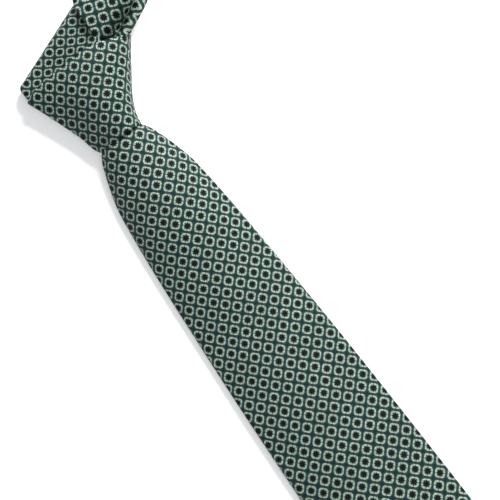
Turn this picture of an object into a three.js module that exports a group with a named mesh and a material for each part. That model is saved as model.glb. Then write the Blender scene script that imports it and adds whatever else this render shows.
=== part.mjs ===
import * as THREE from "three";

// A silk necktie tied in a four-in-hand knot and laid flat, face up. Lengths are in mm.
// The table is z = 0, the blades run towards -Y, and the neck loop lies beyond the knot.

// --- Cloth -----------------------------------------------------------------------------
const CLOTH = 0.45; // jacquard silk
const LINING = 0.3; // tipping and labels
const EASE = 0.3; // air left between layers that lie on each other
const STRIP = 3; // a finished strip: folded shell, interlining and tipping
const THREAD = 0.5;

// --- Knot ------------------------------------------------------------------------------
const MOUTH_WIDTH = 26.4; // where the front blade leaves the knot
const KNOT_LENGTH = 45;
const KNOT_LEFT = 29.4; // from the middle line to the knot's upper left corner
const KNOT_RIGHT = 37.4;
const MOUTH_ROOM = 2.5; // air over the blade inside the mouth
const KNOT_ROOM = 6.3; // air over the tongue under the top of the front wrap
const MOUTH_RISE = 3; // air between the tail and the blade inside the mouth
const SQUARENESS = 4; // exponent of the wrap's super-elliptic section
const TOP_BOW = 4; // how far the wrap's upper edge bows upwards
const ROLL_RISE = 0.37; // slope of the rolled top edge
const TONGUE_LEFT_INSET = 1.9; // from the front wrap's left corner to the tongue's edge
const TONGUE_RIGHT_INSET = 17.9;
const TONGUE_ROOM = 1.6; // air beside the blade gathered inside the mouth
const TONGUE_TAPER = 0.15; // more air beside it for each mm up the knot
const CORE_ROOM = 1.2; // air beside the tail inside the mouth

// --- Blades ----------------------------------------------------------------------------
const BLADE_LENGTH = 460; // mouth to point
const BLADE_WIDTH = 82; // at its widest, where the point starts
const TAIL_LENGTH = 350;
const TAIL_WIDTH = 38;
const HEM = 8; // turned edge along a point
const TIPPING_LENGTH = 110;
const SLIP_STITCH_END = 95; // the seam stops this far above a point, at its bar tack
const KEEPER = { fromTip: 210, width: 8, span: 34 };
const LABEL = { fromTip: 160, width: 24, span: 44 };
const CARE_LABEL = { fromTip: 80, width: 8, span: 10 };
const TIGHTENING = 35; // travel of the tail through the knot

// --- Neck loop -------------------------------------------------------------------------
const NECK_WIDTH = 35;
const NECK_ANGLE = (24 * Math.PI) / 180; // from +X
const NECK_INSIDE = 6; // from the front wrap's right corner in to the middle of both legs
const NECK_ABOVE = 8.2; // and up from it
const LOOP_LENGTH = 185;
const LOOP_HALF_WIDTH = 44;
const PINCHED = 15; // width of a leg where the knot grips it
const JOIN_AT = 62; // joining seams, measured along the legs

// --- Levels of the layers inside the knot, from the table up ---------------------------
const LAYER = STRIP + 0.5;
const backLevel = STRIP / 2;
const tailLevel = backLevel + LAYER;
const tailLegLevel = tailLevel + LAYER;
const bladeLegLevel = tailLegLevel + LAYER;
const tongueLevel = bladeLegLevel + LAYER + 0.2;
const mouthLevel = tailLevel + STRIP + MOUTH_RISE;
const keeperGap = 2 * EASE + CLOTH + 0.25;
const bladeLevel = STRIP + keeperGap + 0.35 + STRIP / 2;

const silk = new THREE.MeshStandardMaterial({ color: 0x5d7468, roughness: 0.5 });
const wool = new THREE.MeshStandardMaterial({ color: 0xe6e1d4, roughness: 0.95 });
const lining = new THREE.MeshStandardMaterial({ color: 0x27352f, roughness: 0.4 });
const thread = new THREE.MeshStandardMaterial({ color: 0x2c4a3d, roughness: 0.7 });
const satin = new THREE.MeshStandardMaterial({ color: 0x18231f, roughness: 0.35 });

const lerp = THREE.MathUtils.lerp;
const clamp = THREE.MathUtils.clamp;

// Straight-line reading of a table of [position, value] pairs in rising order.
function read(table, position) {
  const last = table.length - 1;
  if (position <= table[0][0]) return table[0][1];
  for (let i = 0; i < last; i += 1) {
    const [from, low] = table[i];
    const [to, high] = table[i + 1];
    if (position <= to) return lerp(low, high, (position - from) / (to - from));
  }
  return table[last][1];
}

function steps(from, to, count) {
  return Array.from({ length: count + 1 }, (_, i) => lerp(from, to, i / count));
}

// A closed solid through rings of points. Each ring is a flat outline [across, depth],
// and place(station, across, depth) gives the point in space. Each quad is cut the same
// way across the strip, so that the inner and outer walls of a twisted shell stay parallel.
function loft(stations, outline, place) {
  const rings = stations.map((station) => outline(station));
  const count = rings[0].length;
  const positions = [];
  stations.forEach((station, i) => {
    rings[i].forEach(([across, depth]) => positions.push(...place(station, across, depth)));
  });
  const faces = [];
  for (let i = 0; i < stations.length - 1; i += 1) {
    for (let j = 0; j < count; j += 1) {
      const a = i * count + j;
      const b = i * count + ((j + 1) % count);
      const rising = rings[i][(j + 1) % count][0] >= rings[i][j][0];
      if (rising) faces.push(a, b, b + count, a, b + count, a + count);
      else faces.push(a, b, a + count, b, b + count, a + count);
    }
  }
  capFaces(rings[0]).forEach(([a, b, c]) => faces.push(a, c, b));
  const start = (stations.length - 1) * count;
  capFaces(rings.at(-1)).forEach(([a, b, c]) => faces.push(start + a, start + b, start + c));
  const geometry = new THREE.BufferGeometry();
  geometry.setAttribute("position", new THREE.Float32BufferAttribute(positions, 3));
  geometry.setIndex(faces);
  return facingOut(geometry);
}

// Triangles that fill a ring, each wound as the ring is.
function capFaces(ring) {
  const points = ring.map((point) => new THREE.Vector2(...point));
  const wound = THREE.ShapeUtils.isClockWise(points);
  return THREE.ShapeUtils.triangulateShape(points, []).map(([a, b, c]) => {
    const same = THREE.ShapeUtils.isClockWise([points[a], points[b], points[c]]) === wound;
    return same ? [a, b, c] : [a, c, b];
  });
}

// Turns a closed mesh the right way round when its volume comes out negative.
function facingOut(geometry) {
  const p = geometry.getAttribute("position");
  const index = geometry.getIndex().array;
  const [a, b, c] = [new THREE.Vector3(), new THREE.Vector3(), new THREE.Vector3()];
  let volume = 0;
  for (let i = 0; i < index.length; i += 3) {
    a.fromBufferAttribute(p, index[i]);
    b.fromBufferAttribute(p, index[i + 1]);
    c.fromBufferAttribute(p, index[i + 2]);
    volume += a.dot(b.cross(c));
  }
  if (volume < 0) {
    for (let i = 0; i < index.length; i += 3) {
      [index[i + 1], index[i + 2]] = [index[i + 2], index[i + 1]];
    }
  }
  geometry.computeVertexNormals();
  return geometry;
}

// The outline of a folded shell: one panel in front, and two flaps that meet behind.
function shellOutline(half, flapGap) {
  const front = STRIP / 2;
  const inner = half - CLOTH;
  return [
    [-flapGap, -front], [-half, -front], [-half, front], [half, front],
    [half, -front], [flapGap, -front], [flapGap, CLOTH - front], [inner, CLOTH - front],
    [inner, front - CLOTH], [-inner, front - CLOTH], [-inner, CLOTH - front],
    [-flapGap, CLOTH - front],
  ];
}

function plateOutline(left, right, low, high) {
  return [[left, low], [right, low], [right, high], [left, high]];
}

const interliningLow = CLOTH + EASE + LINING + EASE - STRIP / 2;
const interliningHigh = STRIP / 2 - CLOTH - EASE;
const tippingLow = CLOTH + EASE - STRIP / 2;

function mesh(name, geometry, material) {
  const piece = new THREE.Mesh(geometry, material);
  piece.name = name;
  return piece;
}

// A strip of the tie: its folded silk shell and the wool interlining inside it.
function strip(name, stations, half, place, flapGap = () => THREAD / 2 + EASE) {
  const shell = loft(stations, (at) => shellOutline(half(at), flapGap(at)), place);
  const core = loft(
    stations,
    (at) => {
      const w = half(at) - CLOTH - EASE;
      return plateOutline(-w, w, interliningLow, interliningHigh);
    },
    place,
  );
  return [mesh(`${name}_shell`, shell, silk), mesh(`${name}_interlining`, core, wool)];
}

// The thread that closes a shell, lying between the two edges of its flaps.
function slipStitch(name, stations, place) {
  const low = -STRIP / 2;
  const ring = plateOutline(-THREAD / 2, THREAD / 2, low, low + CLOTH);
  return mesh(name, loft(stations, () => ring, place), thread);
}

function plate(name, at, size, material) {
  const piece = mesh(name, new THREE.BoxGeometry(...size), material);
  piece.position.set(...at);
  return piece;
}

// --- Front blade and tail: strips that run down from the mouth of the knot --------------
// `down` is the distance below the mouth.
function hangingBlade(name, { length, width, widths, levels, from }) {
  const point = length - width / 2;
  const table = [...widths, [point, width]];
  const half = (down) =>
    down > point ? Math.max(length - down, 1) : read(table, down) / 2;
  const level = (down) => read(levels, down);
  const place = (down, across, depth) => [across, -down, level(down) + depth];
  const tack = length - SLIP_STITCH_END;
  const flapGap = (down) => {
    const seam = THREAD / 2 + EASE;
    const open = half(down) - CLOTH - HEM;
    const spread = clamp((down - tack) / (point - tack), 0, 1);
    const most = Math.max(open, 0.3);
    return down <= tack ? seam : Math.max(Math.min(lerp(seam, most, spread), most), 0.3);
  };
  const marks = [...new Set([...widths, ...levels].map(([at]) => at))];
  const stations = [from, ...marks, tack, lerp(tack, point, 0.5), point, length - 9, length - 1]
    .filter((at) => at >= from)
    .sort((a, b) => a - b)
    .filter((at, i, all) => i === 0 || at - all[i - 1] > 0.5);
  const [shell, interlining] = strip(name, stations, half, place, flapGap);

  const coreEnd = length - 6;
  const inner = stations.filter((at) => at < coreEnd - 2);
  inner[0] += 1;
  inner.push(coreEnd);
  const coreHalf = (at) => half(at) - CLOTH - EASE;
  interlining.geometry = loft(
    inner,
    (at) => plateOutline(-coreHalf(at), coreHalf(at), interliningLow, interliningHigh),
    place,
  );
  const tippingStart = length - TIPPING_LENGTH;
  const tippingStations = [tippingStart, ...inner.filter((at) => at > tippingStart + 2)];
  const tipping = loft(
    tippingStations,
    (at) => plateOutline(-coreHalf(at), coreHalf(at), tippingLow, tippingLow + LINING),
    place,
  );
  const seamStations = stations.filter((at) => at < tack - 2);
  seamStations[0] += 1;
  seamStations.push(tack - 2);
  const pieces = [
    shell,
    interlining,
    mesh(`${name}_tipping`, tipping, lining),
    slipStitch(`${name}_slip_stitch`, seamStations, place),
    plate(
      `${name}_bar_tack`,
      [0, -tack - 1, level(tack) - STRIP / 2 + CLOTH / 2],
      [2 * (THREAD / 2 + EASE) - 0.35, 1.6, CLOTH],
      thread,
    ),
  ];
  return { pieces, half, level };
}

// The blade is held up to here by the tail, and it lies level as far as its label.
const labelEnd = BLADE_LENGTH - LABEL.fromTip + LABEL.width / 2;
const bladeRest = Math.max(TAIL_LENGTH + TIGHTENING, labelEnd + 5);
const blade = hangingBlade("blade", {
  length: BLADE_LENGTH,
  width: BLADE_WIDTH,
  widths: [[0.5, MOUTH_WIDTH], [8, 33.5], [35, 49], [120, 63.4], [200, 71], [300, 77.5]],
  levels: [
    [0, mouthLevel], [80, bladeLevel], [bladeRest + 3, bladeLevel],
    [bladeRest + 35, STRIP / 2],
  ],
  from: 0.5,
});
const coreWidth = MOUTH_WIDTH - 2 * (STRIP + CORE_ROOM); // the tail inside the knot
const tail = hangingBlade("tail", {
  length: TAIL_LENGTH,
  width: TAIL_WIDTH,
  widths: [[-KNOT_LENGTH, coreWidth], [2, coreWidth], [30, 24], [200, 33]],
  levels: [[-KNOT_LENGTH, tailLevel], [0, tailLevel], [30, STRIP / 2]],
  from: -KNOT_LENGTH,
});

// Sewn to the back of the front blade, each one ease away from it.
const bladeBack = bladeLevel - STRIP / 2;
function sewnOn(name, { fromTip, width, span }, thickness, material) {
  const z = bladeBack - EASE - thickness / 2;
  return plate(name, [0, fromTip - BLADE_LENGTH, z], [span, width, thickness], material);
}
const keeperTacks = [-1, 1].map((side) =>
  plate(
    side < 0 ? "keeper_tack_left" : "keeper_tack_right",
    [side * (KEEPER.span / 2 + EASE + 0.5), KEEPER.fromTip - BLADE_LENGTH, bladeBack - EASE - CLOTH / 2],
    [1, KEEPER.width, CLOTH],
    thread,
  ),
);
const bladeTrim = [
  sewnOn("keeper_loop", KEEPER, CLOTH, silk),
  sewnOn("blank_label", LABEL, LINING, satin),
  ...keeperTacks,
];
const careLevel = blade.level(BLADE_LENGTH - CARE_LABEL.fromTip) - STRIP / 2;
bladeTrim.push(
  plate(
    "care_label",
    [0, CARE_LABEL.fromTip - BLADE_LENGTH, careLevel + CLOTH / 2],
    [CARE_LABEL.span, CARE_LABEL.width, LINING],
    satin,
  ),
);

// --- Knot ------------------------------------------------------------------------------
const seatLevel = STRIP + 0.4; // the front wrap's two feet stand just above the back pass
const mouthHeight = mouthLevel + 1.5 * STRIP + MOUTH_ROOM;
const knotHeight = tongueLevel + 1.5 * STRIP + KNOT_ROOM;
const heightAt = (y) => lerp(mouthHeight, knotHeight, y / KNOT_LENGTH);
const leftAt = (y) => lerp(MOUTH_WIDTH / 2, KNOT_LEFT, y / KNOT_LENGTH);
const rightAt = (y) => lerp(MOUTH_WIDTH / 2, KNOT_RIGHT, y / KNOT_LENGTH);

// The front wrap arches from the left foot over to the right one; `turn` is in radians.
const wrapTop = (turn) => KNOT_LENGTH - 1 + TOP_BOW * Math.sin(turn);
const wrapHalf = (turn) => wrapTop(turn) / 2;
function placeWrap(turn, across, depth) {
  const y = wrapHalf(turn) + across + 0.4;
  const inset = STRIP / 2 - depth;
  const c = -Math.cos(turn);
  const wide = (c < 0 ? leftAt(y) : rightAt(y)) - inset;
  const tall = heightAt(y) - seatLevel - inset;
  const x = Math.sign(c) * wide * Math.abs(c) ** (2 / SQUARENESS);
  return [x, y, seatLevel + tall * Math.sin(turn) ** (2 / SQUARENESS)];
}
const wrapTurns = steps(0, Math.PI, 24);
const frontWrap = strip("knot_front_wrap", wrapTurns, wrapHalf, placeWrap);

// The back pass lies flat under the knot, from the left fold to the right one.
const backHalf = (KNOT_LENGTH - 1) / 2;
function placeBack(share, across, depth) {
  const y = backHalf + across + 0.4;
  return [lerp(1 - leftAt(y), rightAt(y) - 1, share), y, backLevel + depth];
}
const backPass = strip("knot_back_pass", steps(0, 1, 6), () => backHalf, placeBack);

// The tongue comes up behind the knot, rolls over the top and goes down inside the wrap.
const rollRadius = (tongueLevel - tailLevel) / 2;
const tongueLeft = KNOT_LEFT - TONGUE_LEFT_INSET;
const tongueRight = KNOT_RIGHT - TONGUE_RIGHT_INSET;
const tongueHalf = (tongueLeft + tongueRight) / 2;
const tongueTop = KNOT_LENGTH + 1.5;
const rollCentre = (x) => tongueTop + 0.5 + ROLL_RISE * (x + tongueLeft);
const ROLL_FROM = 2; // station at which the roll starts
const ROLL_STEPS = 8;
const gatheredAt = (share) => {
  const y = share * KNOT_LENGTH;
  const gathered = leftAt(y) - STRIP - TONGUE_ROOM - TONGUE_TAPER * y;
  return [y, gathered, gathered, lerp(mouthLevel, tongueLevel, Math.min(2 * share, 1))];
};
const tonguePlan = [ // below the roll: [y, left, right, level]
  [tongueTop, tongueLeft - 4, tongueRight - 1, tongueLevel],
  [KNOT_LENGTH - 1.5, tongueLeft - STRIP - 6, tongueRight - STRIP + 0.5, tongueLevel],
  ...[0.75, 0.5, 0.25, 0.1, 0].map(gatheredAt),
];
function placeTongue(station, across, depth) {
  const side = (across / tongueHalf + 1) / 2;
  const roll = (station - ROLL_FROM) / ROLL_STEPS;
  const wide = lerp(-tongueLeft, tongueRight, side);
  if (roll < 0) {
    const y = lerp(tongueTop, rollCentre(wide), station / ROLL_FROM);
    return [wide, y, tailLevel - depth];
  }
  if (roll <= 1) {
    const angle = Math.PI * (roll - 0.5);
    const reach = rollRadius + depth;
    const z = tailLevel + rollRadius + reach * Math.sin(angle);
    return [wide, rollCentre(wide) + reach * Math.cos(angle), z];
  }
  const below = station - ROLL_FROM - ROLL_STEPS - 1;
  const [y, left, right, level] = tonguePlan[below];
  return [lerp(-left, right, side), y, level + depth];
}
const tongueEnd = ROLL_FROM + ROLL_STEPS + tonguePlan.length;
const tongueAt = (station, across, depth) => {
  const low = Math.floor(station);
  const high = Math.min(low + 1, tongueEnd);
  const from = placeTongue(low, across, depth);
  const to = placeTongue(high, across, depth);
  return from.map((value, i) => lerp(value, to[i], station - low));
};
const tongueStations = steps(0, tongueEnd, tongueEnd);
const tongue = strip("knot_tongue", tongueStations, () => tongueHalf, tongueAt);

// --- Neck loop: both legs, and the gusset round the back of the neck --------------------
const outward = new THREE.Vector2(Math.cos(NECK_ANGLE), Math.sin(NECK_ANGLE));
const sideways = new THREE.Vector2(-outward.y, outward.x);
const neckStart = new THREE.Vector2(KNOT_RIGHT - NECK_INSIDE, KNOT_LENGTH + NECK_ABOVE);

// A ribbon along stations {s, n, z, half, stand}: s runs out along the legs, n across
// them, and stand is how far the ribbon has turned from lying flat to standing on edge.
function ribbon(stations) {
  const points = stations.map(({ s, n, z }) => {
    const plan = neckStart.clone().addScaledVector(outward, s).addScaledVector(sideways, n);
    return new THREE.Vector3(plan.x, plan.y, z);
  });
  const curve = new THREE.CatmullRomCurve3(points, false, "centripetal");
  const last = stations.length - 1;
  const value = (key, at) => read(stations.map((row, i) => [i / last, row[key]]), at);
  const place = (at, across, depth) => {
    const middle = curve.getPoint(at);
    const run = curve.getTangent(at).setZ(0).normalize();
    const left = new THREE.Vector3(-run.y, run.x, 0);
    const stand = (value("stand", at) * Math.PI) / 180;
    const face = new THREE.Vector3(0, 0, Math.cos(stand)).addScaledVector(left, Math.sin(stand));
    const cross = left.clone().multiplyScalar(Math.cos(stand)).setZ(-Math.sin(stand));
    return middle.addScaledVector(cross, across).addScaledVector(face, depth).toArray();
  };
  return { place, half: (at) => value("half", at) };
}

const half = NECK_WIDTH / 2;
const pinched = PINCHED / 2;
const onEdge = (stand) => {
  const turn = (stand * Math.PI) / 180;
  return half * Math.sin(turn) + (STRIP / 2) * Math.cos(turn) + 0.1;
};
const standing = onEdge(90);
const wide = LOOP_HALF_WIDTH;
const bladeLegZ = bladeLegLevel;
const tailLegZ = tailLegLevel;
const SEAM_BUTT = 0.4; // air between two joined strips, along the legs
const bladeLegSlope = 0.47; // both strips leave a joining seam in one line
const tailLegSlope = 0.51;
const bladeJoin = 23;
const tailJoin = -11.6;
const bladeLeg = ribbon([
  { s: -17, n: 0, z: bladeLegZ, half: pinched, stand: 0 },
  { s: 0, n: 0, z: bladeLegZ, half: pinched, stand: 0 },
  { s: 12, n: 7.5, z: bladeLegZ, half: half - 2, stand: 0 },
  { s: 30, n: 10.5, z: bladeLegZ, half, stand: 0 },
  { s: JOIN_AT - 16, n: bladeJoin - 16 * bladeLegSlope, z: bladeLegZ, half, stand: 0 },
  { s: JOIN_AT, n: bladeJoin, z: bladeLegZ, half, stand: 0 },
]);
const gusset = ribbon([
  { s: JOIN_AT + SEAM_BUTT, n: bladeJoin + SEAM_BUTT * bladeLegSlope, z: bladeLegZ, half, stand: 0 },
  { s: JOIN_AT + 17, n: bladeJoin + 17 * bladeLegSlope, z: bladeLegZ + 0.6, half, stand: 18 },
  { s: 0.53 * LOOP_LENGTH, n: 0.89 * wide, z: onEdge(45) + 2, half, stand: 45 },
  { s: 0.68 * LOOP_LENGTH, n: wide, z: onEdge(75) + 0.4, half, stand: 75 },
  { s: 0.83 * LOOP_LENGTH, n: 0.86 * wide, z: standing, half, stand: 90 },
  { s: 0.94 * LOOP_LENGTH, n: 0.55 * wide, z: standing, half, stand: 90 },
  { s: LOOP_LENGTH, n: 0, z: standing, half, stand: 90 },
  { s: 0.94 * LOOP_LENGTH, n: -0.55 * wide, z: standing, half, stand: 90 },
  { s: 0.83 * LOOP_LENGTH, n: -0.86 * wide, z: standing, half, stand: 90 },
  { s: 0.69 * LOOP_LENGTH, n: -0.98 * wide, z: onEdge(72) + 0.4, half, stand: 72 },
  { s: 0.56 * LOOP_LENGTH, n: -0.82 * wide, z: onEdge(40) + 1, half, stand: 40 },
  { s: JOIN_AT + 21, n: tailJoin - 21 * tailLegSlope, z: tailLegZ + 0.8, half, stand: 14 },
  { s: JOIN_AT + SEAM_BUTT, n: tailJoin - SEAM_BUTT * tailLegSlope, z: tailLegZ, half, stand: 0 },
]);
const tailLeg = ribbon([
  { s: JOIN_AT, n: tailJoin, z: tailLegZ, half, stand: 0 },
  { s: JOIN_AT - 9, n: tailJoin + 9 * tailLegSlope, z: tailLegZ, half: half - 3, stand: 0 },
  { s: JOIN_AT - 24, n: -0.4, z: tailLegZ, half: pinched, stand: 0 },
  { s: JOIN_AT - 42, n: 0, z: tailLegZ, half: pinched, stand: 0 },
  { s: -14, n: 0, z: tailLegZ, half: pinched, stand: 0 },
]);
const firstCross = ribbon([
  { s: -50, n: 0, z: bladeLegZ, half: pinched, stand: 0 },
  { s: -17.5, n: 0, z: bladeLegZ, half: pinched, stand: 0 },
]);
const ribbonStrip = (name, path, count) => strip(name, steps(0, 1, count), path.half, path.place);
const gussetSteps = Math.round(1.83 * NECK_WIDTH); // a wider strip takes more to twist

const tie = new THREE.Group();
tie.add(
  ...blade.pieces, ...bladeTrim, ...tail.pieces,
  ...frontWrap, ...backPass, ...tongue,
  ...ribbonStrip("knot_first_cross", firstCross, 2),
  ...ribbonStrip("neck_blade_leg", bladeLeg, 12),
  ...ribbonStrip("neck_gusset", gusset, gussetSteps),
  ...ribbonStrip("neck_tail_leg", tailLeg, 12),
  slipStitch("neck_slip_stitch", steps(0, 1, gussetSteps).slice(1, -1), gusset.place),
);

// The origin is on the table, under the knot's flat back, a third of the way up from its
// mouth, where the back pass is one unbroken layer of cloth.
const laidTie = new THREE.Group();
laidTie.add(tie);
tie.position.set(0, -KNOT_LENGTH / 3, 0);
export default laidTie;
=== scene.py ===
import math
import bmesh
import bpy
from mathutils import Matrix, Vector, noise


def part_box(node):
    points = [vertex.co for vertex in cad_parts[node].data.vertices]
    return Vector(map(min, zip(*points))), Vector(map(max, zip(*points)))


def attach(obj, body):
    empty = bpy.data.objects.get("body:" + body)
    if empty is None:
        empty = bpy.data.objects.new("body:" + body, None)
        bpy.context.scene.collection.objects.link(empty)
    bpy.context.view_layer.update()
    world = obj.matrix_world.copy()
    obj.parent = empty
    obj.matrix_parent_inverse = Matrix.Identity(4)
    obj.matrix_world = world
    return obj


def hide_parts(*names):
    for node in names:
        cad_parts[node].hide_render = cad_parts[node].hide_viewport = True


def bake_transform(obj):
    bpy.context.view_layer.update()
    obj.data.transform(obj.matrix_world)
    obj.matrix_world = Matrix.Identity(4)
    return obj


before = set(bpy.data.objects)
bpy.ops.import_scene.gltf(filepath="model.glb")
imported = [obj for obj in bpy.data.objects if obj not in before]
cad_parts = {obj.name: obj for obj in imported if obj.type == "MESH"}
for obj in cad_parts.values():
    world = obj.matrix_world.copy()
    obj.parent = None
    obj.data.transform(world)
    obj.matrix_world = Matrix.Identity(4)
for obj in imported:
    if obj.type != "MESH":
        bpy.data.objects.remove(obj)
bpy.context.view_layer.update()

# --- Table, light and view ---------------------------------------------------------------
# The tie lies on a white table, lit by a large soft lamp beyond its neckband. All sizes
# below are in mm, from the middle of the knot's mouth: +Y towards the neck, +Z up.
MM = 0.001
LOW, HIGH = 0, 1
WRAP_CLEAR = 0.4  # the wrap's lower edge lies this far above the line of the mouth
mouth = Vector((0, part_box("knot_front_wrap_shell")[LOW][1] - WRAP_CLEAR * MM, 0))


def at(x, y, z):
    return mouth + Vector((x, y, z)) * MM


scene = bpy.context.scene
scene.view_settings.view_transform = "Standard"

camera_data = bpy.data.cameras.new("view")
camera = bpy.data.objects.new("view", camera_data)
scene.collection.objects.link(camera)
scene.camera = camera
VIEW_HEIGHT = 1300
VIEW_WIDTH = 265
VIEW_MIDDLE = (20.4, -88.2)
TIE_LEVEL = 10
camera_data.sensor_width = 36
camera_data.lens = 36 * VIEW_HEIGHT / VIEW_WIDTH
camera_data.clip_end = 10
blade_slant = math.radians(54)  # how far the blade runs below the level line in the view
view_right = Vector((math.sin(blade_slant), -math.cos(blade_slant), 0))
view_up = Vector((math.cos(blade_slant), math.sin(blade_slant), 0))
turned = Matrix((view_right, view_up, Vector((0, 0, 1)))).transposed().to_4x4()
camera.matrix_world = Matrix.Translation(at(*VIEW_MIDDLE, TIE_LEVEL + VIEW_HEIGHT)) @ turned


def principled(name, colour, roughness):
    """A new material, its node tree and its Principled shader."""
    material = bpy.data.materials.new(name)
    material.use_nodes = True
    shader = material.node_tree.nodes["Principled BSDF"]
    shader.inputs["Base Color"].default_value = (*colour, 1)
    shader.inputs["Roughness"].default_value = roughness
    return material, material.node_tree, shader


table_top = bpy.data.meshes.new("table_top")
bm = bmesh.new()
bmesh.ops.create_grid(bm, x_segments=1, y_segments=1, size=4)
bmesh.ops.translate(bm, verts=bm.verts, vec=(0, 0, -0.2 * MM))
bm.to_mesh(table_top)
bm.free()
table = bpy.data.objects.new("table_top", table_top)
scene.collection.objects.link(table)
table_white, _, shader = principled("table_white", (0.95, 0.95, 0.95), 0.9)
shader.inputs["Emission Color"].default_value = (1, 1, 1, 1)
shader.inputs["Emission Strength"].default_value = 0.22  # keeps the shadow on it pale
table_top.materials.append(table_white)


def area_lamp(name, place, aim, size, power):
    data = bpy.data.lights.new(name, "AREA")
    data.size = size
    data.energy = power
    lamp = bpy.data.objects.new(name, data)
    lamp.location = place
    lamp.rotation_euler = (Vector(aim) - Vector(place)).to_track_quat("-Z", "Y").to_euler()
    scene.collection.objects.link(lamp)


area_lamp("window", place=(1.15, 0.7, 0.95), aim=(0.03, -0.1, 0), size=0.5, power=44)
area_lamp("overhead", place=(-0.1, -0.5, 1.8), aim=(0, -0.15, 0), size=1.6, power=8)
world = bpy.data.worlds.new("room")
world.use_nodes = True
room_light = world.node_tree.nodes["Background"]
room_light.inputs["Color"].default_value = (0.93, 0.96, 1, 1)
room_light.inputs["Strength"].default_value = 0.42
scene.world = world

# --- Silk --------------------------------------------------------------------------------
# Jacquard cut on the bias: pale square rings round a dark eight-pointed star, on a green
# ground with navy where four squares meet. Each pick of the weave shows as a fine rib.
REPEAT = 6.25 * MM
PICKS = 24  # threads to one repeat
# PALE_LIT and GROUND_LIT are painted sheen: lighter copies of the pale floats and of the green ground.
PALE = (0.12, 0.19, 0.15)
PALE_LIT = (0.52, 0.62, 0.55)
MOSS = (0.06, 0.125, 0.085)
GROUND = (0.004, 0.018, 0.012)
GROUND_LIT = (0.035, 0.085, 0.058)
STAR = (0.003, 0.005, 0.006)
NAVY = (0.007, 0.014, 0.034)
BRONZE = (0.03, 0.027, 0.018)
RING_OUTSIDE = (0.405, 0.38)  # where the ring ends and is full, as a share of the repeat
RING_INSIDE = (0.325, 0.29)
RING_SQUARENESS = 3.6
STAR_POINTS = 8.0
STAR_RADIUS = 0.272
STAR_DEPTH = 0.05  # from the middle of its radius to a point or a hollow


def calc(tree, operation, *values, clamp=False):
    """The output of a Math node on these numbers or sockets."""
    node = tree.nodes.new("ShaderNodeMath")
    node.operation = operation
    node.use_clamp = clamp
    for socket, value in zip(node.inputs, values):
        if isinstance(value, bpy.types.NodeSocket):
            tree.links.new(value, socket)
        else:
            socket.default_value = value
    return node.outputs[0]


def ramp(tree, value, start, end):
    """0 at start, 1 at end, and smooth between; end may lie before start."""
    node = tree.nodes.new("ShaderNodeMapRange")
    node.interpolation_type = "SMOOTHSTEP"
    tree.links.new(value, node.inputs["Value"])
    node.inputs["From Min"].default_value = min(start, end)
    node.inputs["From Max"].default_value = max(start, end)
    node.inputs["To Min"].default_value = 0 if start < end else 1
    node.inputs["To Max"].default_value = 1 if start < end else 0
    return node.outputs["Result"]


def blended(tree, share, first, second):
    """The colour from first to second by share; each is a colour or a socket."""
    node = tree.nodes.new("ShaderNodeMix")
    node.data_type = "RGBA"
    tree.links.new(share, node.inputs["Factor"])
    for socket, value in ((node.inputs[6], first), (node.inputs[7], second)):
        if isinstance(value, bpy.types.NodeSocket):
            tree.links.new(value, socket)
        else:
            socket.default_value = (*value, 1)
    return node.outputs[2]


def speckle(tree, vector, scale, detail=2):
    node = tree.nodes.new("ShaderNodeTexNoise")
    node.inputs["Scale"].default_value = scale
    node.inputs["Detail"].default_value = detail
    tree.links.new(vector, node.inputs["Vector"])
    return node.outputs["Fac"]


def cloth_place(tree, turn, scale):
    """Where a point lies on the flat cloth, from the piece's own map."""
    own_map = tree.nodes.new("ShaderNodeUVMap")
    own_map.uv_map = "cloth"
    mapping = tree.nodes.new("ShaderNodeMapping")
    mapping.inputs["Rotation"].default_value = (0, 0, turn)
    mapping.inputs["Scale"].default_value = (scale, scale, scale)
    tree.links.new(own_map.outputs["UV"], mapping.inputs["Vector"])
    return mapping.outputs["Vector"]


def thread_relief_group():
    """Ribs of a weave: picks across the cloth, twill leaning over them, and fuzz."""
    group = bpy.data.node_groups.new("thread_relief", "ShaderNodeTree")
    sockets = group.interface
    sockets.new_socket("Cloth", in_out="INPUT", socket_type="NodeSocketVector")
    sockets.new_socket("Threads", in_out="INPUT", socket_type="NodeSocketFloat")
    sockets.new_socket("Lean", in_out="INPUT", socket_type="NodeSocketFloat")
    for name in ("Picks", "Twill", "Fuzz"):
        sockets.new_socket(name, in_out="OUTPUT", socket_type="NodeSocketFloat")
    given = group.nodes.new("NodeGroupInput")
    result = group.nodes.new("NodeGroupOutput")
    parts = group.nodes.new("ShaderNodeSeparateXYZ")
    group.links.new(given.outputs["Cloth"], parts.inputs["Vector"])
    x, y = parts.outputs["X"], parts.outputs["Y"]
    pitch = calc(group, "MULTIPLY", given.outputs["Threads"], 2 * math.pi)
    picks = calc(group, "COSINE", calc(group, "MULTIPLY", y, pitch))
    lean = calc(group, "MULTIPLY_ADD", y, given.outputs["Lean"], x)
    twill = calc(group, "COSINE", calc(group, "MULTIPLY", lean, pitch))
    fuzz = speckle(group, given.outputs["Cloth"], 9.0)
    group.links.new(calc(group, "MULTIPLY_ADD", picks, 0.5, 0.5), result.inputs["Picks"])
    group.links.new(calc(group, "MULTIPLY_ADD", twill, 0.5, 0.5), result.inputs["Twill"])
    group.links.new(fuzz, result.inputs["Fuzz"])
    return group


thread_relief = thread_relief_group()


def weave(tree, cloth, threads, lean):
    node = tree.nodes.new("ShaderNodeGroup")
    node.node_tree = thread_relief
    tree.links.new(cloth, node.inputs["Cloth"])
    node.inputs["Threads"].default_value = threads
    node.inputs["Lean"].default_value = lean
    return node.outputs["Picks"], node.outputs["Twill"], node.outputs["Fuzz"]


def raised(tree, shader, height, distance, strength=1.0):
    bump = tree.nodes.new("ShaderNodeBump")
    bump.inputs["Distance"].default_value = distance
    bump.inputs["Strength"].default_value = strength
    tree.links.new(height, bump.inputs["Height"])
    tree.links.new(bump.outputs["Normal"], shader.inputs["Normal"])


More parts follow.
